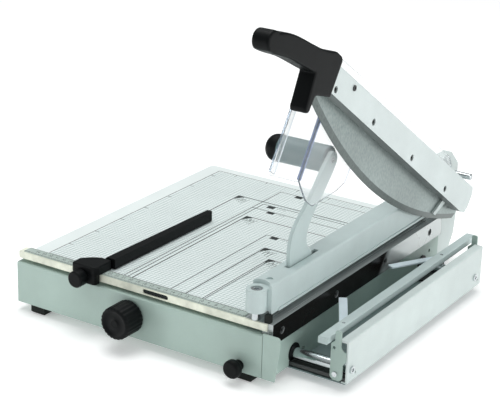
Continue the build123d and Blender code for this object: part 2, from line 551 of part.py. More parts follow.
with BuildPart() as swivel_pins:
    for swivel_y, way in SWIVELS:
        pin_z(BAR_Z0 + 0.2, BAR_Z1 - 0.2, SWIVEL_X, swivel_y, 2.0)
keep("swivel_pins", swivel_pins.part)

for name, (swivel_y, way) in zip(("swivel_arm_front", "swivel_arm_rear"), SWIVELS):
    lean = radians(SWIVEL_ANGLE)
    direction = (-cos(lean), way * sin(lean), 0)
    with BuildPart() as swivel:
        with BuildSketch(Plane(origin=(SWIVEL_X, swivel_y, SWIVEL_Z0), x_dir=direction, z_dir=(0, 0, 1))):
            Circle(5.0)
            with Locations((SWIVEL_LENGTH / 2, 0)):
                Rectangle(SWIVEL_LENGTH, 10.0)
            Circle(2.0 + RUNNING, mode=Mode.SUBTRACT)
        extrude(amount=SWIVEL_Z1 - SWIVEL_Z0)
        fillet(swivel.edges().filter_by(Axis.Z).sort_by_distance((SWIVEL_X, swivel_y, -15.0))[-2:], 1.5)
    keep(name, swivel.part)

with BuildPart() as outer_panel:
    block(PULL_X - SHEET, PULL_X, PULL_FRONT + 0.1, PULL_REAR - 0.1, -66.0, -14.5)
    block(PULL_X - 11.0, PULL_X, PULL_FRONT + 0.1, PULL_REAR - 0.1, -16.5, -14.5)
    block(PULL_X - 7.0, PULL_X, PULL_FRONT + 0.1, PULL_REAR - 0.1, -66.0, -64.5)
    fillet(outer_panel.edges().filter_by(Axis.Y).filter_by_position(Axis.X, PULL_X - 0.1, PULL_X + 0.1)
           .filter_by_position(Axis.Z, -14.6, -14.4), 1.8)
    for rod_y, inward in ROD_SPOTS:
        pin_x(PULL_X - 4, PULL_X + 1, rod_y, ROD_Z, 2.55, Mode.SUBTRACT)
        pin_x(PULL_X - 4, PULL_X + 1, rod_y + 10, -58.5, 1.5, Mode.SUBTRACT)
keep("outer_panel", outer_panel.part)

for name, plate_y in (("end_plate_front", PULL_FRONT - 2.0), ("end_plate_rear", PULL_REAR)):
    with BuildPart() as plate:
        with BuildSketch(front_plane(plate_y)):
            with BuildLine():
                Polyline((59, -3), (66.5, -3), (66.5, -20))
                RadiusArc((66.5, -20), (72.8, -27.5), -7.0)
                Polyline((72.8, -27.5), (72.8, -40), (69.5, -44), (69.5, -61), (66.5, -64), (57.5, -64),
                         (BAR_X1 + 0.1, -60), (BAR_X1 + 0.1, -20), (59, -16), (59, -3))
            make_face()
            with Locations((58.0, -24.5), (60.5, -56.5)):
                Circle(1.9, mode=Mode.SUBTRACT)
        extrude(amount=-2.0)
        fillet(plate.edges().filter_by(Axis.Y).filter_by_position(Axis.Z, -3.1, -2.9), 2.5)
    keep(name, plate.part)

with BuildPart() as plate_screws:
    for y0, y1 in ((PULL_FRONT - 3.4, PULL_FRONT - 2.0), (PULL_REAR + 2.0, PULL_REAR + 3.4)):
        pin_y(y0, y1, 60.5, -56.5, 3.3)
    pin_y(PULL_FRONT - 2.0, PULL_FRONT + 0.8, 60.5, -56.5, 1.8)
    pin_y(PULL_REAR - 0.8, PULL_REAR + 2.0, 60.5, -56.5, 1.8)
keep("plate_screws", plate_screws.part)

with BuildPart() as guide_rods:
    for rod_y, inward in ROD_SPOTS:
        pin_x(-120.0, PULL_X - SHEET - 0.1, rod_y, ROD_Z, ROD_R)
        pin_x(PULL_X - 20, PULL_X, rod_y, ROD_Z, 2.55, Mode.SUBTRACT)
keep("guide_rods", guide_rods.part)

with BuildPart() as panel_screws:
    for rod_y, inward in ROD_SPOTS:
        pin_x(PULL_X, PULL_X + 2.2, rod_y, ROD_Z, 4.6)
        pin_x(PULL_X - 14, PULL_X, rod_y, ROD_Z, 2.5)
        with BuildSketch(side_plane(PULL_X + 2.2)):
            with Locations((rod_y, ROD_Z)):
                RegularPolygon(2.4, 6)
        extrude(amount=-1.6, mode=Mode.SUBTRACT)
keep("panel_screws", panel_screws.part)

with BuildPart() as slide_channels:
    for rod_y, inward in ROD_SPOTS:
        block(-250.0, PULL_X - SHEET - 0.1, *beside(rod_y, inward, -8.5, 24.5), -64.4, -62.4)
        block(-250.0, PULL_X - SHEET - 0.1, *beside(rod_y, inward, -8.5, -6.5), -64.4, -60.0)
keep("slide_channels", slide_channels.part)

PITCH = MODULE * pi
PITCH_R = MODULE * TEETH / 2
RACK_TOP = KNOB_Z - PITCH_R
with BuildPart() as racks:
    for rod_y, inward in ROD_SPOTS:
        rack_y = beside(rod_y, inward, RACK_OFFSET, RACK_OFFSET + RACK_WIDTH)[0]
        block(-250.0, -120.0, rack_y, rack_y + RACK_WIDTH, -62.3, RACK_TOP - 1.25 * MODULE)
        half = PITCH / 4 - 0.12
        lean = tan(radians(20.0))
        with BuildSketch(front_plane(rack_y)):
            for count in range(-12, 13):
                centre = KNOB_X + (count + 0.5) * PITCH
                low, high = RACK_TOP - 1.25 * MODULE - 0.01, RACK_TOP + MODULE
                wide, narrow = half + lean * (RACK_TOP - low), half - lean * (high - RACK_TOP)
                with BuildLine():
                    Polyline((centre - wide, low), (centre + wide, low), (centre + narrow, high),
                             (centre - narrow, high), (centre - wide, low))
                make_face()
        extrude(amount=-RACK_WIDTH)
keep("racks", racks.part)


def involute_angle(r, base_r):
    a = acos(base_r / r)
    return tan(a) - a


def pinion_outline():
    """Points of one whole gear, with a tooth pointing straight down."""
    base_r = PITCH_R * cos(radians(20.0))
    root_r, tip_r = PITCH_R - 1.25 * MODULE, PITCH_R + MODULE
    half_pitch = pi / (2 * TEETH) - 0.12 / PITCH_R + involute_angle(PITCH_R, base_r)
    radii = [base_r + 0.01 + (tip_r - base_r - 0.01) * k / 5 for k in range(6)]
    flank = [(r, half_pitch - involute_angle(r, base_r)) for r in radii]
    flank = [(root_r, flank[0][1])] + flank
    points = []
    for tooth in range(TEETH):
        middle = 2 * pi * tooth / TEETH - pi / 2
        points += [(r * cos(middle - a), r * sin(middle - a)) for r, a in flank]
        points += [(r * cos(middle + a), r * sin(middle + a)) for r, a in reversed(flank)]
    return points


with BuildPart() as pinions:
    for rod_y, inward in ROD_SPOTS:
        with BuildSketch(front_plane(beside(rod_y, inward, RACK_OFFSET, RACK_OFFSET + RACK_WIDTH)[0])):
            with BuildLine():
                Polyline([(KNOB_X + px, KNOB_Z + pz) for px, pz in pinion_outline()], close=True)
            make_face()
            with Locations((KNOB_X, KNOB_Z)):
                Circle(5.0 + RUNNING, mode=Mode.SUBTRACT)
        extrude(amount=-RACK_WIDTH)
keep("pinions", pinions.part)

with BuildPart() as rod_bushings:
    for rod_y, inward in ROD_SPOTS:
        pin_x(-14.0, 0.9, rod_y, ROD_Z, 10.0)
        pin_x(-0.4, 0.9, rod_y, ROD_Z, 11.5)
        pin_x(-20, 5, rod_y, ROD_Z, ROD_R + RUNNING, Mode.SUBTRACT)
        cut_block(-20, 5, *beside(rod_y, inward, -15, 25), -66, -59.3)
keep("rod_bushings", rod_bushings.part)

# ---------------------------------------------------------------- knobs on the front panel
with BuildPart() as knob_shaft:
    pin_y(-37.5, 377.0, KNOB_X, KNOB_Z, 5.0)
keep("knob_shaft", knob_shaft.part)

with BuildPart() as shaft_bearings:
    for y0, y1, foot0, foot1 in ((6.0, 10.0, -16.0, 10.0), (376.0, 380.0, 366.0, 385.8)):
        block(KNOB_X - 14, KNOB_X + 14, y0, y1, BASE_BOTTOM + SHEET + 0.1, KNOB_Z + 12)
        block(KNOB_X - 14, KNOB_X + 14, foot0, foot1, BASE_BOTTOM + SHEET + 0.1,
              BASE_BOTTOM + 2 * SHEET + 0.1)
        pin_y(y0 - 3, y1 + 3, KNOB_X, KNOB_Z, 8.5)
        pin_y(y0 - 5, y1 + 5, KNOB_X, KNOB_Z, 5.0 + RUNNING, Mode.SUBTRACT)
keep("shaft_bearings", shaft_bearings.part)

with BuildPart() as large_knob:
    pin_y(-50.0, -20.0, KNOB_X, KNOB_Z, KNOB_R)
    fillet(large_knob.edges().filter_by_position(Axis.Y, -50.1, -49.9), 2.0)
    fillet(large_knob.edges().filter_by_position(Axis.Y, -20.1, -19.9), 1.0)
    pin_y(-38.0, -19.0, KNOB_X, KNOB_Z, 5.0 + RUNNING, Mode.SUBTRACT)
keep("large_knob", large_knob.part)

with BuildPart() as lock_knob:
    pin_y(-28.0, -19.0, LOCK_X, LOCK_Z, 6.5)
    pin_y(-37.5, -27.0, LOCK_X, LOCK_Z, LOCK_R)
    fillet(lock_knob.edges().filter_by_position(Axis.Y, -37.6, -37.4), 3.5)
    fillet(lock_knob.edges().filter_by_position(Axis.Y, -27.1, -26.9).sort_by(SortBy.LENGTH)[-1], 3.0)
    pin_y(-32.5, -18.0, LOCK_X, LOCK_Z, 4.0 + RUNNING, Mode.SUBTRACT)
keep("lock_knob", lock_knob.part)

with BuildPart() as lock_stud:
    pin_y(-32.0, 27.2, LOCK_X, LOCK_Z, 4.0)
keep("lock_stud", lock_stud.part)

# ---------------------------------------------------------------- export
os.makedirs("parts", exist_ok=True)
for label, solid in parts.items():
    shifted = solid.moved(Location(ORIGIN))
    shifted.label = label
    export_step(shifted, f"parts/{label}.step")
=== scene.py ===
import json
import math

import bmesh
import bpy
from mathutils import Matrix, Vector


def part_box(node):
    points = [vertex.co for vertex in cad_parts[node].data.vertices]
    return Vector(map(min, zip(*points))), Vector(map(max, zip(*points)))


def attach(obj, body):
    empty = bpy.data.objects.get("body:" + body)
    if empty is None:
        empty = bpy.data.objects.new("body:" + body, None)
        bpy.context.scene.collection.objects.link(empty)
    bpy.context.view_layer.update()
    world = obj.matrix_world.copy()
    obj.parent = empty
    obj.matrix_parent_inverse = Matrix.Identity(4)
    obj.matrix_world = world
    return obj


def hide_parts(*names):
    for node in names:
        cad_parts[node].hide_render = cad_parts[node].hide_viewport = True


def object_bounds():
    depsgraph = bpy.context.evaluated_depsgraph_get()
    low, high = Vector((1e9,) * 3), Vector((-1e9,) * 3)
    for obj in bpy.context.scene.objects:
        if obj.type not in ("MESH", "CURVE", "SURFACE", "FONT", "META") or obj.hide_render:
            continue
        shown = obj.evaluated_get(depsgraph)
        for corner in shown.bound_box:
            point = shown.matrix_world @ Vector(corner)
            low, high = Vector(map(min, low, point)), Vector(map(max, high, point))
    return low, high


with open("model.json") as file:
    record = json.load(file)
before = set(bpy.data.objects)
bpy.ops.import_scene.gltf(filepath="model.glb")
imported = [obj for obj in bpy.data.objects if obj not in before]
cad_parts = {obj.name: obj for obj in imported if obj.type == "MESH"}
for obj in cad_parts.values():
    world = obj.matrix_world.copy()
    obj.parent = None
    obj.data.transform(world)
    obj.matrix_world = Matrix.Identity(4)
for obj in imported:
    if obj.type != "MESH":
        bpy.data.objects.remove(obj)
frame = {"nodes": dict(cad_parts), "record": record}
cad_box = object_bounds()
nodes = frame["nodes"]
scene = bpy.context.scene

# ------------------------------------------------------------------ the layout, in millimetres
# X = 0 on the cutting edge, Y = 0 at the back of the front ruler, Z = 0 on the table top.
MM = 0.001
EDGE_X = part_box("bed_knife")[1].x
RULER_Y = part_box("table_plate")[0].y
TABLE_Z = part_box("table_plate")[1].z
ARM_LEAN = math.radians(33.0)


def at(x, y, z):
    """A point of the layout, in the row frame, in metres."""
    return Vector((EDGE_X + x * MM, RULER_Y + y * MM, TABLE_Z + z * MM))


def on_arm(x, along, up):
    """A point given along the raised arm (front to rear) and square to it."""
    c, s = math.cos(ARM_LEAN), math.sin(ARM_LEAN)
    return at(x, c * along + s * up, c * up - s * along)


def layout(p):
    """The layout coordinates of a row-frame point, in millimetres."""
    return Vector(((p[0] - EDGE_X) / MM, (p[1] - RULER_Y) / MM, (p[2] - TABLE_Z) / MM))


# ------------------------------------------------------------------ materials
class Graph:
    """A material with its Principled shader and small helpers for its nodes."""

    def __init__(self, name):
        self.mat = bpy.data.materials.new(name)
        self.mat.use_nodes = True
        self.tree = self.mat.node_tree
        self.shader = self.tree.nodes["Principled BSDF"]
        self.place = self.new("ShaderNodeTexCoord").outputs["Object"]

    def new(self, kind, **settings):
        """A node, with each setting put on the input or the property of that name."""
        node = self.tree.nodes.new(kind)
        for key, value in settings.items():
            if key in node.inputs:
                node.inputs[key].default_value = value
            else:
                setattr(node, key, value)
        return node

    def link(self, a, b):
        """A link from an output to an input."""
        self.tree.links.new(a, b)

    def split(self, vector):
        """The X, Y and Z outputs of a vector."""
        node = self.new("ShaderNodeSeparateXYZ")
        self.link(vector, node.inputs["Vector"])
        return node.outputs

    def facing(self, axis):
        """How far a face of the part looks along one axis, from -1 to 1."""
        return self.split(self.new("ShaderNodeTexCoord").outputs["Normal"])[axis]

    def stretched(self, scale):
        """The part's own coordinates, scaled."""
        mapping = self.new("ShaderNodeMapping")
        mapping.inputs["Scale"].default_value = scale
        self.link(self.place, mapping.inputs["Vector"])
        return mapping.outputs["Vector"]

    def noise(self, scale, detail=3.0, place=None):
        """A noise, mostly between 0.3 and 0.7."""
        tex = self.new("ShaderNodeTexNoise", Scale=scale, Detail=detail, Roughness=0.55)
        self.link(place or self.place, tex.inputs["Vector"])
        return tex.outputs["Fac"]

    def both(self, first, second, share):
        """Two values in one, with the given share of the second."""
        node = self.new("ShaderNodeMix", data_type="FLOAT")
        node.inputs[0].default_value = share
        self.link(first, node.inputs[2])
        self.link(second, node.inputs[3])
        return node.outputs[0]

    def ramp(self, fac, low, high, start=0.3, end=0.7):
        """A colour that goes from low to high while fac goes from start to end."""
        node = self.new("ShaderNodeValToRGB")
        for element, position, colour in zip(node.color_ramp.elements, (start, end), (low, high)):
            element.position = position
            element.color = (*colour, 1.0)
        self.link(fac, node.inputs["Fac"])
        return node.outputs["Color"]

    def spread(self, fac, low, high, from_low=0.3, from_high=0.7):
        """A value that goes from low to high while fac goes from from_low to from_high."""
        node = self.new("ShaderNodeMapRange")
        node.inputs["From Min"].default_value = from_low
        node.inputs["From Max"].default_value = from_high
        node.inputs["To Min"].default_value = low
        node.inputs["To Max"].default_value = high
        self.link(fac, node.inputs["Value"])
        return node.outputs["Result"]

    def blend(self, fac, a, b):
        """Colour a where fac is 0 and colour b where it is 1."""
        node = self.new("ShaderNodeMix", data_type="RGBA")
        self.link(fac, node.inputs[0])
        self.link(a, node.inputs[6])
        self.link(b, node.inputs[7])
        return node.outputs[2]

    def times(self, a, b):
        """One colour multiplied by another."""
        node = self.new("ShaderNodeMix", data_type="RGBA", blend_type="MULTIPLY")
        node.inputs[0].default_value = 1.0
        self.link(a, node.inputs[6])
        self.link(b, node.inputs[7])
        return node.outputs[2]

    def painted_shade_below(self, colour, share):
        """Painted shade: the colour, brought down to the given share on faces that look down, as if they lay
        in shadow.
        """
        node = self.new("ShaderNodeMix", data_type="RGBA")
        node.inputs[6].default_value = (0.0, 0.0, 0.0, 1.0)
        self.link(self.spread(self.facing("Z"), share, 1.0, -0.8, -0.6), node.inputs[0])
        self.link(colour, node.inputs[7])
        return node.outputs[2]

    def bump(self, height, distance, strength=1.0, edge=0.0):
        """A bump from a height, over edges rounded by the radius edge."""
        node = self.new("ShaderNodeBump", Strength=strength, Distance=distance)
        self.link(height, node.inputs["Height"])
        if edge:
            bevel = self.new("ShaderNodeBevel", Radius=edge)
            bevel.samples = 4
            self.link(bevel.outputs["Normal"], node.inputs["Normal"])
        self.link(node.outputs["Normal"], self.shader.inputs["Normal"])


def lin(*srgb):
    """Linear colour from 0-255 screen values."""
    return tuple(c / 255 / 12.92 if c / 255 <= 0.04045 else ((c / 255 + 0.055) / 1.055) ** 2.4 for c in srgb)


def shade(colour, factor):
    """A colour made lighter or darker."""
    return tuple(min(1.0, c * factor) for c in colour)


def painted(name, colour, roughness=0.42, peel=0.00006, grain=0.10, edge=0.0004, under=1.0):
    """Powder coat: a soft orange peel, slight mottling and a faint fleck."""
    g = Graph(name)
    speckle = g.both(g.noise(14.0, 4.0), g.noise(2600.0, 2.0), 0.35)
    tone = g.ramp(speckle, shade(colour, 1.0 - grain), shade(colour, 1.0 + grain * 0.6), 0.35, 0.65)
    # Painted shade: with under below 1, the faces that look down are darkened to stand in for their shadow.
    if under < 1.0:
        tone = g.painted_shade_below(tone, under)
    g.link(tone, g.shader.inputs["Base Color"])
    g.link(g.spread(g.noise(900.0, 2.0), roughness - 0.06, roughness + 0.08), g.shader.inputs["Roughness"])
    g.bump(g.noise(1100.0, 2.0), peel, 0.5, edge)
    return g.mat


def printed(name, colour, grain=0.2):
    """Printing ink."""
    return painted(name, colour, roughness=0.45, peel=0.00002, grain=grain, edge=0.0)


def plastic(name, colour, roughness=0.5, texture=0.00008, scale=1900.0):
    """Moulded plastic with a fine spark-eroded texture and slightly polished high spots."""
    g = Graph(name)
    fine = g.noise(scale, 3.0)
    tone = g.ramp(g.noise(45.0, 4.0), shade(colour, 0.82), shade(colour, 1.25))
    g.link(tone, g.shader.inputs["Base Color"])
    g.link(g.spread(fine, roughness + 0.08, roughness - 0.06), g.shader.inputs["Roughness"])
    g.shader.inputs["Specular IOR Level"].default_value = 0.12
    g.bump(fine, texture, 0.6, 0.0005)
    return g.mat


def steel(name, colour, roughness, streaks, contrast=0.08, metallic=1.0):
    """Ground or brushed steel: fine streaks along one direction over a slow change of tone."""
    g = Graph(name)
    line = g.noise(1.0, 4.0, g.stretched(streaks))
    speckle = g.both(line, g.noise(9.0, 3.0), 0.4)
    tone = g.ramp(speckle, shade(colour, 1.0 - contrast), shade(colour, 1.0 + contrast))
    g.link(tone, g.shader.inputs["Base Color"])
    g.shader.inputs["Metallic"].default_value = metallic
    g.link(g.spread(line, roughness - 0.07, roughness + 0.1), g.shader.inputs["Roughness"])
    g.bump(line, 0.00002, 0.5, 0.0003)
    return g.mat


def clear(name, colour, roughness=0.04):
    """Clear polycarbonate with faint handling haze."""
    g = Graph(name)
    g.shader.inputs["Base Color"].default_value = (*colour, 1.0)
    g.shader.inputs["Transmission Weight"].default_value = 0.9
    g.shader.inputs["IOR"].default_value = 1.2
    g.link(g.spread(g.noise(25.0, 4.0), roughness, roughness + 0.05), g.shader.inputs["Roughness"])
    g.bump(g.noise(18.0, 2.0), 0.00008, 0.3)
    return g.mat


def ground_blade(name):
    """The blade: brushed along its length, with a darker ground bevel, which looks a little off X."""
    bevel_facing, web_facing = 0.93, 0.97
    g = Graph(name)
    line = g.noise(1.0, 4.0, g.stretched((5.0, 420.0, 260.0)))
    cloud = g.ramp(g.noise(7.0, 3.0), (0.82, 0.82, 0.82), (1.0, 1.0, 1.0), 0.35, 0.65)
    web = g.times(g.ramp(line, lin(138, 151, 149), lin(172, 183, 181)), cloud)
    bevel = g.ramp(line, lin(92, 100, 99), lin(116, 124, 122))
    flat = g.spread(g.facing("X"), 0.0, 1.0, bevel_facing, web_facing)
    g.link(g.blend(flat, bevel, web), g.shader.inputs["Base Color"])
    g.shader.inputs["Metallic"].default_value = 0.9
    g.link(g.spread(line, 0.30, 0.46), g.shader.inputs["Roughness"])
    g.bump(line, 0.00002, 0.5, 0.0003)
    return g.mat


def ground_knife(name):
    """The bed knife: a bright ground top, and a side with a painted reflection, dark from the front as far as
    a slanted line and pale beyond it.
    """
    slant, reflection_end = 0.8, 256.0 * MM
    g = Graph(name)
    line = g.noise(1.0, 4.0, g.stretched((700.0, 5.0, 5.0)))
    place = g.split(g.place)
    along = g.new("ShaderNodeMath", operation="MULTIPLY_ADD")
    along.inputs[1].default_value = -slant
    g.link(place["Z"], along.inputs[0])
    g.link(place["Y"], along.inputs[2])
    border = RULER_Y + reflection_end - slant * TABLE_Z
    # Painted reflection: the side is dark where it would mirror the shaded inside of the strip gauge, and
    # pale further back where it would mirror the white floor.
    floor_reflection_share = g.spread(along.outputs[0], 0.0, 1.0, border - 0.004, border + 0.012)
    dark = g.ramp(line, lin(22, 20, 19), lin(34, 31, 30))
    pale = g.ramp(line, lin(190, 196, 196), lin(214, 220, 219))
    top = g.ramp(line, lin(168, 174, 174), lin(198, 204, 204))
    side = g.spread(g.facing("X"), 0.0, 1.0, 0.6, 0.8)
    g.link(g.blend(side, top, g.blend(floor_reflection_share, dark, pale)), g.shader.inputs["Base Color"])
    g.shader.inputs["Metallic"].default_value = 0.5
    g.shader.inputs["Specular IOR Level"].default_value = 0.08
    g.link(g.spread(line, 0.16, 0.3), g.shader.inputs["Roughness"])
    g.bump(line, 0.00002, 0.4, 0.0003)
    return g.mat


looks = {
    "panel_paint": painted("panel_paint", lin(170, 191, 183)),
    "table_paint": painted("table_paint", lin(236, 244, 243), roughness=0.36, peel=0.00004, grain=0.04),
    "arm_paint": painted("arm_paint", lin(208, 219, 217)),
    "clamp_paint": painted("clamp_paint", lin(198, 213, 212), roughness=0.38),
    "lever_paint": painted("lever_paint", lin(188, 204, 203), roughness=0.36),
    "grip_paint": painted("grip_paint", lin(96, 120, 122), roughness=0.45),
    "ruler_cream": plastic("ruler_cream", lin(228, 232, 216), roughness=0.35),
    "scale_print": painted("scale_print", lin(176, 190, 184), roughness=0.5, peel=0.00003, grain=0.12),
    "knife_steel": ground_knife("knife_steel"),
    "blade_steel": ground_blade("blade_steel"),
    "bright_steel": steel("bright_steel", lin(205, 210, 212), 0.2, (300.0, 300.0, 300.0)),
    "zinc_steel": steel("zinc_steel", lin(226, 240, 246), 0.5, (60.0, 60.0, 60.0),
                        contrast=0.05, metallic=0.2),
    "rod_steel": steel("rod_steel", lin(190, 196, 198), 0.14, (900.0, 6.0, 6.0)),
    "dark_steel": painted("dark_steel", lin(52, 56, 56), roughness=0.4),
    "black_plastic": plastic("black_plastic", lin(9, 12, 13), roughness=0.45),
    "black_rubber": plastic("black_rubber", lin(36, 40, 38), roughness=0.7, texture=0.00012, scale=1200.0),
    "clear_guard": clear("clear_guard", (0.985, 0.995, 1.0)),
    "gear_brass": steel("gear_brass", lin(186, 160, 96), 0.3, (300.0, 300.0, 300.0), contrast=0.1),
    "hub_steel": steel("hub_steel", lin(160, 164, 165), 0.3, (500.0, 40.0, 40.0), contrast=0.1),
}
slot_of = {s["node"]: s["material_slot"] for s in frame["record"]["subparts"]}
finish_of = {name: looks[slot_of[name]] for name in nodes}
# The beam gets painted shade: its faces that look down are brought down to a quarter of its colour.
finish_of["arm_beam"] = painted("beam_paint", lin(216, 226, 225), under=0.25)
for name, node in nodes.items():
    node.data.materials.clear()
    node.data.materials.append(finish_of[name])

ink = printed("print_ink", lin(20, 26, 26))
wedge_ink = printed("wedge_ink", lin(34, 42, 42))
pale_ink = printed("pale_ink", lin(96, 108, 107), grain=0.15)
grid_ink = printed("grid_ink", lin(176, 194, 192), grain=0.05)
# Painted shade: a dark sheet for the inside of the ruler's slot.
slot_shade = plastic("ruler_slot_shade", lin(40, 46, 46), roughness=0.6)
tray_paint = painted("tray_paint", lin(128, 146, 146))
cut_edge = clear("guard_edge", (0.62, 0.72, 0.84), roughness=0.1)
bend_edge = clear("guard_bend_edge", (0.16, 0.24, 0.48), roughness=0.1)


# ------------------------------------------------------------------ mesh helpers
def piece(name, bm, material, body):
    """A new piece made from a bmesh, which rides on a body."""
    mesh = bpy.data.meshes.new(name)
    bm.to_mesh(mesh)
    bm.free()
    obj = bpy.data.objects.new(name, mesh)
    scene.collection.objects.link(obj)
    mesh.materials.append(material)
    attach(obj, body)
    return obj


def prism(bm, first, second):
    """A closed solid between two rings of points."""
    a = [bm.verts.new(point) for point in first]
    b = [bm.verts.new(point) for point in second]
    bm.faces.new(b)
    bm.faces.new(a[::-1])
    for i in range(len(a)):
        j = (i + 1) % len(a)
        bm.faces.new((a[i], a[j], b[j], b[i]))


def slab(first, second):
    """A bmesh of one prism, with its faces looking outward."""
    bm = bmesh.new()
    prism(bm, first, second)
    bmesh.ops.recalc_face_normals(bm, faces=bm.faces)
    return bm


def patch(bm, corners, height, base=0.0):
    """A thin raised patch on a level face."""
    prism(bm, [at(x, y, base) for x, y in corners], [at(x, y, base + height) for x, y in corners])


def strip(bm, x0, y0, x1, y1, width, height, base=0.0):
    """A thin raised line on a level face, from one point to another."""
    a, b = Vector((x0, y0, 0)), Vector((x1, y1, 0))
    side = (b - a).normalized().cross(Vector((0, 0, 1))) * width / 2
    patch(bm, [(p.x, p.y) for p in (a + side, a - side, b - side, b + side)], height, base)


glyphs = {}


def label(bm, text, x, y, size, base=0.0):
    """Numerals lying on a level face, centred on a point of the layout."""
    if text not in glyphs:
        curve = bpy.data.curves.new("glyph", "FONT")
        curve.body, curve.size, curve.extrude = text, 1.0, 0.01
        curve.align_x, curve.align_y = "CENTER", "CENTER"
        holder = bpy.data.objects.new("glyph", curve)
        scene.collection.objects.link(holder)
        bpy.context.view_layer.update()
        glyphs[text] = bpy.data.meshes.new_from_object(holder)
        bpy.data.objects.remove(holder)
    before = len(bm.verts)
    bm.from_mesh(glyphs[text])
    bm.verts.ensure_lookup_table()
    place = Matrix.Translation(at(x, y, base)) @ Matrix.Diagonal((size * MM, size * MM, MM, 1.0))
    bmesh.ops.transform(bm, matrix=place, verts=bm.verts[before:])


# ------------------------------------------------------------------ print on the table
TABLE_RIGHT, PRINT_LEFT, PRINT_REAR = -39.0, -329.5, 374.5
GRID_PITCH, GRID_ALONG, GRID_ACROSS = 5.0, 0.7, 0.9
BORDER, FINE, THIN, THICK = 0.9, 0.8, 1.0, 1.5
GRID_INK, PALE_INK, LINE_INK, WEDGE_INK = 0.02, 0.04, 0.05, 0.06
REAR_TICKS, REAR_TICK_FIRST, REAR_TICK_PITCH, REAR_TICK = 5, -300.0, 50.0, 6.75
LEFT_TICKS, LEFT_TICK_FIRST, LEFT_TICK_PITCH, LEFT_TICK = 7, 39.5, 52.2, 7.0
# The corner of each paper format, the width of its lines, and the figure beside its wedge.
FORMATS = [(-216.0, 354.5, THIN, None), (-254.0, 308.0, THICK, "10"), (-210.3, 301.0, THIN, None),
           (-216.0, 282.0, THIN, None), (-203.8, 250.3, THICK, "8"), (-148.3, 210.5, THIN, None),
           (-127.3, 172.5, THICK, "5"), (-104.0, 145.0, THIN, "4"), (-101.2, 142.5, THIN, None)]
WEDGE_X, WEDGE_Y = 11.0, 12.0
HATCHES, HATCH_PITCH, HATCH = 4, 5.0, 0.7
BLOCKS = [(-195.5, 296.0), (-185.3, 278.5), (-185.3, 350.5), (-134.8, 206.3)]
BLOCK_X, BLOCK_Y = 5.3, 4.0

grid = bmesh.new()
for i in range(1, int((TABLE_RIGHT - PRINT_LEFT) / GRID_PITCH) + 1):
    x = PRINT_LEFT + i * GRID_PITCH
    strip(grid, x, 2.0, x, PRINT_REAR, GRID_ALONG, GRID_INK)
for i in range(1, int(PRINT_REAR / GRID_PITCH) + 1):
    y = i * GRID_PITCH
    strip(grid, PRINT_LEFT, y, TABLE_RIGHT, y, GRID_ACROSS, GRID_INK)
piece("table_grid", grid, grid_ink, "base")

lines = bmesh.new()
strip(lines, PRINT_LEFT, 3.0, PRINT_LEFT, PRINT_REAR, BORDER, LINE_INK)
strip(lines, PRINT_LEFT, PRINT_REAR, -8.0, PRINT_REAR, BORDER, LINE_INK)
strip(lines, PRINT_LEFT, 1.6, TABLE_RIGHT, 1.6, FINE, LINE_INK)
for i in range(REAR_TICKS):
    x = REAR_TICK_FIRST + i * REAR_TICK_PITCH
    strip(lines, x, PRINT_REAR, x, PRINT_REAR - REAR_TICK, FINE, LINE_INK)
for i in range(LEFT_TICKS):
    y = LEFT_TICK_FIRST + LEFT_TICK_PITCH * i
    strip(lines, PRINT_LEFT, y, PRINT_LEFT + LEFT_TICK, y, FINE, LINE_INK)


def hatching(bm, x, y):
    """The fine slanted and upright lines under a wedge."""
    for step in range(HATCHES):
        start = x + 2.0 + HATCH_PITCH * step
        strip(bm, start, y - 15.0, start + 4.0, y - 5.0, HATCH, PALE_INK)
        strip(bm, start, y - 15.0 - 3.0 * step, start, y - 9.0, HATCH, PALE_INK)


wedges, marks, blocks, pale = bmesh.new(), bmesh.new(), bmesh.new(), bmesh.new()
for x, y, width, digits in FORMATS:
    strip(lines, x, 2.0, x, y, width, LINE_INK)
    strip(lines, x, y, TABLE_RIGHT + 1.0, y, width, LINE_INK)
    if digits:
        patch(wedges, [(x, y), (x, y - WEDGE_Y), (x + WEDGE_X, y)], WEDGE_INK)
        label(marks, digits, x + WEDGE_X, y - 9.5, 7.5)
        hatching(pale, x, y)
for x, y in BLOCKS:
    x0, x1, y0, y1 = x - BLOCK_X, x + BLOCK_X, y - BLOCK_Y, y + BLOCK_Y
    patch(blocks, [(x0, y0), (x1, y0), (x1, y1), (x0, y1)], LINE_INK)
    label(pale, "210 297", x + 16.0, y, 4.2)
piece("table_lines", lines, ink, "base")
piece("format_wedges", wedges, wedge_ink, "base")
piece("format_blocks", blocks, wedge_ink, "base")
piece("format_figures", pale, pale_ink, "base")

# ------------------------------------------------------------------ marks on the front ruler
# A mark at every millimetre along the front, longer at 5 and 10, and at every second one along the back.
SCALE_TOP, SCALE_INK, TICK = 1.0, 0.03, 0.45
SCALE_LEFT, SCALE_FRONT, SCALE_MIDDLE, SCALE_BACK = -356, -12.8, -6.7, -0.5
TEN, FIVE, ONE = 2.8, 2.2, 1.5
for x in range(SCALE_LEFT, int(TABLE_RIGHT) + 1):
    depth = TEN if x % 10 == 0 else FIVE if x % 5 == 0 else ONE
    strip(marks, x, SCALE_FRONT, x, SCALE_FRONT + depth, TICK, SCALE_INK, SCALE_TOP)
    if x % 2 == 0:
        strip(marks, x, SCALE_BACK, x, SCALE_BACK - depth, TICK, SCALE_INK, SCALE_TOP)
    if x % 10 == 0 and -345 < x < -45:
        label(marks, str(-x // 10), x, SCALE_MIDDLE, 6.0, SCALE_TOP)
piece("ruler_marks", marks, ink, "base")

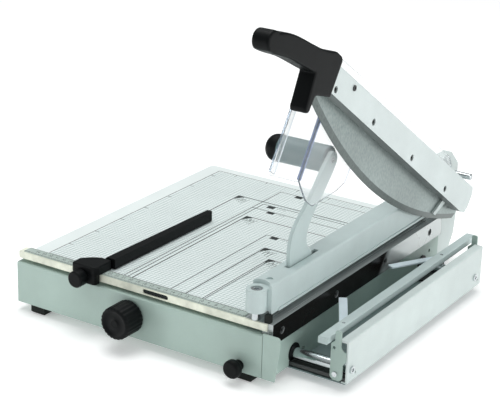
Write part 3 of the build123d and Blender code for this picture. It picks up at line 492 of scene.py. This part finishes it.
# ------------------------------------------------------------------ the clear guard, in arm millimetres
GUARD_FRONT, SHEET, SHEET_X = -51.0, 2.4, -6.6
GUARD = [(GUARD_FRONT, 289.0), (GUARD_FRONT, 150.0), (-40.0, 144.0), (-22.0, 135.5), (-4.0, 134.5),
         (40.0, 166.0), (54.0, 180.0), (56.0, 198.0), (80.0, 216.0), (325.0, 240.0), (347.6, 239.3),
         (356.0, 245.0), (359.6, 254.3), (356.0, 263.0), (347.6, 269.3), (332.0, 273.0), (331.0, 288.0),
         (318.0, 296.4), (GUARD_FRONT + 6.0, 296.4)]


def upright(start, end, low, high):
    """The outline of a plain sheet square to the arm."""
    return [(start, low), (end, low), (end, high), (start, high)]


FLANGE = upright(GUARD_FRONT, GUARD_FRONT + SHEET, 149.0, 236.0)
RETURN = upright(GUARD_FRONT, GUARD_FRONT + 12.0, 153.0, 232.0)
BEND = upright(GUARD_FRONT + 2.6, GUARD_FRONT + 5.4, 152.0, 234.0)
# Each outline with its two X values, and the area in square metres under which a face is an edge.
for name, outline, x0, x1, limit, edge_look in (
        ("guard_sheet", GUARD, SHEET_X, SHEET_X + SHEET, 0.02, cut_edge),
        ("guard_flange", FLANGE, -43.0, -6.7, 0.001, cut_edge),
        ("guard_return", RETURN, -45.5, -43.1, 0.0006, cut_edge),
        ("guard_bend", BEND, -9.6, -6.8, 1.0, bend_edge)):
    plate = slab([on_arm(x1, u, n) for u, n in outline], [on_arm(x0, u, n) for u, n in outline])
    for face in plate.faces:
        face.material_index = int(face.calc_area() < limit)
    sheet = piece(name, plate, looks["clear_guard"], "guard")
    sheet.data.materials.append(edge_look)
    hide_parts("blade_guard")

# ------------------------------------------------------------------ a dark sheet in the ruler's slot, painted shade of the hole
RULER_FRONT = (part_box("front_ruler")[0].y - RULER_Y) / MM
NOTCH_X, NOTCH_Z, NOTCH_HALF, NOTCH_R = -159.0, -4.4, 15.2, 2.8
NOTCH_BACK, SHADE_SHEET, STEPS = RULER_FRONT + 1.6, 1.5, 12
turns = [math.pi * k / STEPS for k in range(STEPS + 1)]
opening = [(NOTCH_X + side * (NOTCH_HALF + NOTCH_R * math.sin(turn)),
            NOTCH_Z + side * NOTCH_R * math.cos(turn)) for side in (1, -1) for turn in turns]
notch = slab(*([at(x, y, z) for x, z in opening] for y in (NOTCH_BACK, NOTCH_BACK + SHADE_SHEET)))
piece("notch_slot_shade", notch, slot_shade, "base")

# ------------------------------------------------------------------ the floor of the pull-out strip gauge
# A pressed sheet with a shallow groove, which slides in under the base.
PANEL = [layout(p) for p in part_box("outer_panel")]
TRAY_IN, TRAY_OUT, TRAY_TOP = -22.0, PANEL[1].x - 2.1, PANEL[0].z - 0.1
TRAY_LOW, GROOVE_LOW = TRAY_TOP - 1.2, TRAY_TOP - 0.6
section = [(TRAY_IN, TRAY_LOW), (TRAY_IN, TRAY_TOP), (30.0, TRAY_TOP), (31.5, GROOVE_LOW), (36.5, GROOVE_LOW),
           (38.0, TRAY_TOP), (TRAY_OUT, TRAY_TOP), (TRAY_OUT, TRAY_LOW)]
tray = slab(*([at(x, end.y, z) for x, z in section] for end in PANEL))
piece("tray_floor", tray, tray_paint, "strip_gauge")

# ------------------------------------------------------------------ the large knob, with shallow ribs
KNOB_X, KNOB_Z, KNOB_R, KNOB_BACK, KNOB_FRONT = -191.7, -38.0, 20.3, 20.0, 49.9
RIBS, RIB, SPOKES = 24, 1.1, 96
# Each ring's distance forward of the ruler's back, its radius and how deep the ribs are there.
RINGS = [(KNOB_BACK, KNOB_R - 1.7, 0.0),
         (KNOB_BACK + 0.8, KNOB_R - 0.1, 0.5),
         (KNOB_BACK + 4.0, KNOB_R, RIB),
         (KNOB_FRONT - 3.4, KNOB_R, RIB),
         (KNOB_FRONT - 1.3, KNOB_R - 0.7, 0.9),
         (KNOB_FRONT, KNOB_R - 2.7, 0.2),
         (KNOB_FRONT, KNOB_R - 5.1, 0.0),
         (KNOB_FRONT - 1.3, KNOB_R - 6.1, 0.0),
         (KNOB_FRONT - 1.3, 5.0, 0.0),
         (KNOB_FRONT - 0.5, 4.4, 0.0)]
turned = bmesh.new()
loops = []
for forward, radius, depth in RINGS:
    loop = []
    for k in range(SPOKES):
        turn = 2 * math.pi * k / SPOKES
        r = radius - depth * (0.5 - 0.5 * math.cos(RIBS * turn)) ** 2
        loop.append(turned.verts.new(at(KNOB_X + r * math.cos(turn), -forward, KNOB_Z + r * math.sin(turn))))
    loops.append(loop)
for a, b in zip(loops, loops[1:]):
    for k in range(SPOKES):
        j = (k + 1) % SPOKES
        turned.faces.new((a[k], a[j], b[j], b[k])).smooth = True
turned.faces.new(loops[0][::-1])
turned.faces.new(loops[-1])
bmesh.ops.recalc_face_normals(turned, faces=turned.faces)
knob = piece("large_knob_moulded", turned, looks["black_plastic"], "knob_drive")
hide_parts("large_knob")

# ------------------------------------------------------------------ the handle
# Remeshed and relaxed, it has the soft edges of a moulding.
soft = nodes["handle"].modifiers.new("soft", "REMESH")
soft.mode, soft.voxel_size, soft.use_smooth_shade = "VOXEL", 0.9 * MM, True
relax = nodes["handle"].modifiers.new("relax", "SMOOTH")
relax.factor, relax.iterations = 0.5, 10

# ------------------------------------------------------------------ floor, in metres from here on
HALF = 6.0
corners = [(-HALF, -HALF, 0), (HALF, -HALF, 0), (HALF, HALF, 0), (-HALF, HALF, 0)]
floor_mesh = bpy.data.meshes.new("floor")
floor_mesh.from_pydata(corners, [], [(0, 1, 2, 3)])
floor = bpy.data.objects.new("floor", floor_mesh)
scene.collection.objects.link(floor)
floor.location.z = cad_box[0].z
ground = Graph("floor")
ground.shader.inputs["Roughness"].default_value = 0.9
cloudy = ground.ramp(ground.noise(3.0, 2.0), (0.94, 0.94, 0.94), (0.96, 0.96, 0.96), 0.0, 1.0)
ground.link(cloudy, ground.shader.inputs["Base Color"])
ground.shader.inputs["Emission Color"].default_value = (1.0, 1.0, 1.0, 1.0)
ground.shader.inputs["Emission Strength"].default_value = 0.25
floor_mesh.materials.append(ground.mat)

# ------------------------------------------------------------------ light
# The sky is dim at the horizon and reaches its full strength near the top.
HORIZON, ZENITH, NEAR_TOP = 0.07, 0.66, 0.9
world = bpy.data.worlds.new("studio")
scene.world = world
world.use_nodes = True
sky = world.node_tree
background = sky.nodes["Background"]
direction = sky.nodes.new("ShaderNodeTexCoord").outputs["Generated"]
height = sky.nodes.new("ShaderNodeSeparateXYZ")
sky.links.new(direction, height.inputs["Vector"])
glow = sky.nodes.new("ShaderNodeMapRange")
glow.inputs["From Min"].default_value = 0.0
glow.inputs["From Max"].default_value = NEAR_TOP
glow.inputs["To Min"].default_value = HORIZON
glow.inputs["To Max"].default_value = ZENITH
sky.links.new(height.outputs["Z"], glow.inputs["Value"])
sky.links.new(glow.outputs["Result"], background.inputs["Strength"])
background.inputs["Color"].default_value = (0.97, 1.0, 1.0, 1.0)


def softbox(name, position, target, size, power):
    """A rectangular light that looks from its position at a target."""
    data = bpy.data.lights.new(name, "AREA")
    data.shape = "RECTANGLE"
    data.size, data.size_y = size
    data.energy = power
    obj = bpy.data.objects.new(name, data)
    scene.collection.objects.link(obj)
    obj.location = position
    obj.rotation_mode = "QUATERNION"
    obj.rotation_quaternion = (Vector(target) - Vector(position)).to_track_quat("-Z", "Y")


softbox("key_right", (2.4, -0.15, 0.62), (0, 0, 0.12), (1.3, 0.6), 15.5)
softbox("top", (-0.2, 0.2, 2.4), (0, 0, 0), (1.6, 1.6), 34.0)
softbox("fill_left", (-0.95, -1.0, 0.2), (-0.15, -0.2, 0.0), (0.4, 0.3), 3.2)

# ------------------------------------------------------------------ camera
AZIMUTH, ELEVATION, ROLL = math.radians(32.05), math.radians(20.99), math.radians(1.86)
LENS, EYE = 112.65, at(806.0, -1355.6, 736.6)
level = math.cos(ELEVATION)
back = Vector((math.sin(AZIMUTH) * level, -math.cos(AZIMUTH) * level, math.sin(ELEVATION)))
right = Vector((math.cos(AZIMUTH), math.sin(AZIMUTH), 0.0))
up = right.cross(-back)
side_axis = right * math.cos(ROLL) + up * math.sin(ROLL)
up_axis = up * math.cos(ROLL) - right * math.sin(ROLL)
camera_data = bpy.data.cameras.new("camera")
camera_data.lens, camera_data.sensor_width = LENS, 36.0
camera_data.clip_start, camera_data.clip_end = 0.05, 50.0
camera = bpy.data.objects.new("camera", camera_data)
scene.collection.objects.link(camera)
axes = Matrix((side_axis, up_axis, back)).transposed().to_4x4()
camera.matrix_world = Matrix.Translation(EYE) @ axes
scene.camera = camera
scene.view_settings.view_transform = "Standard"
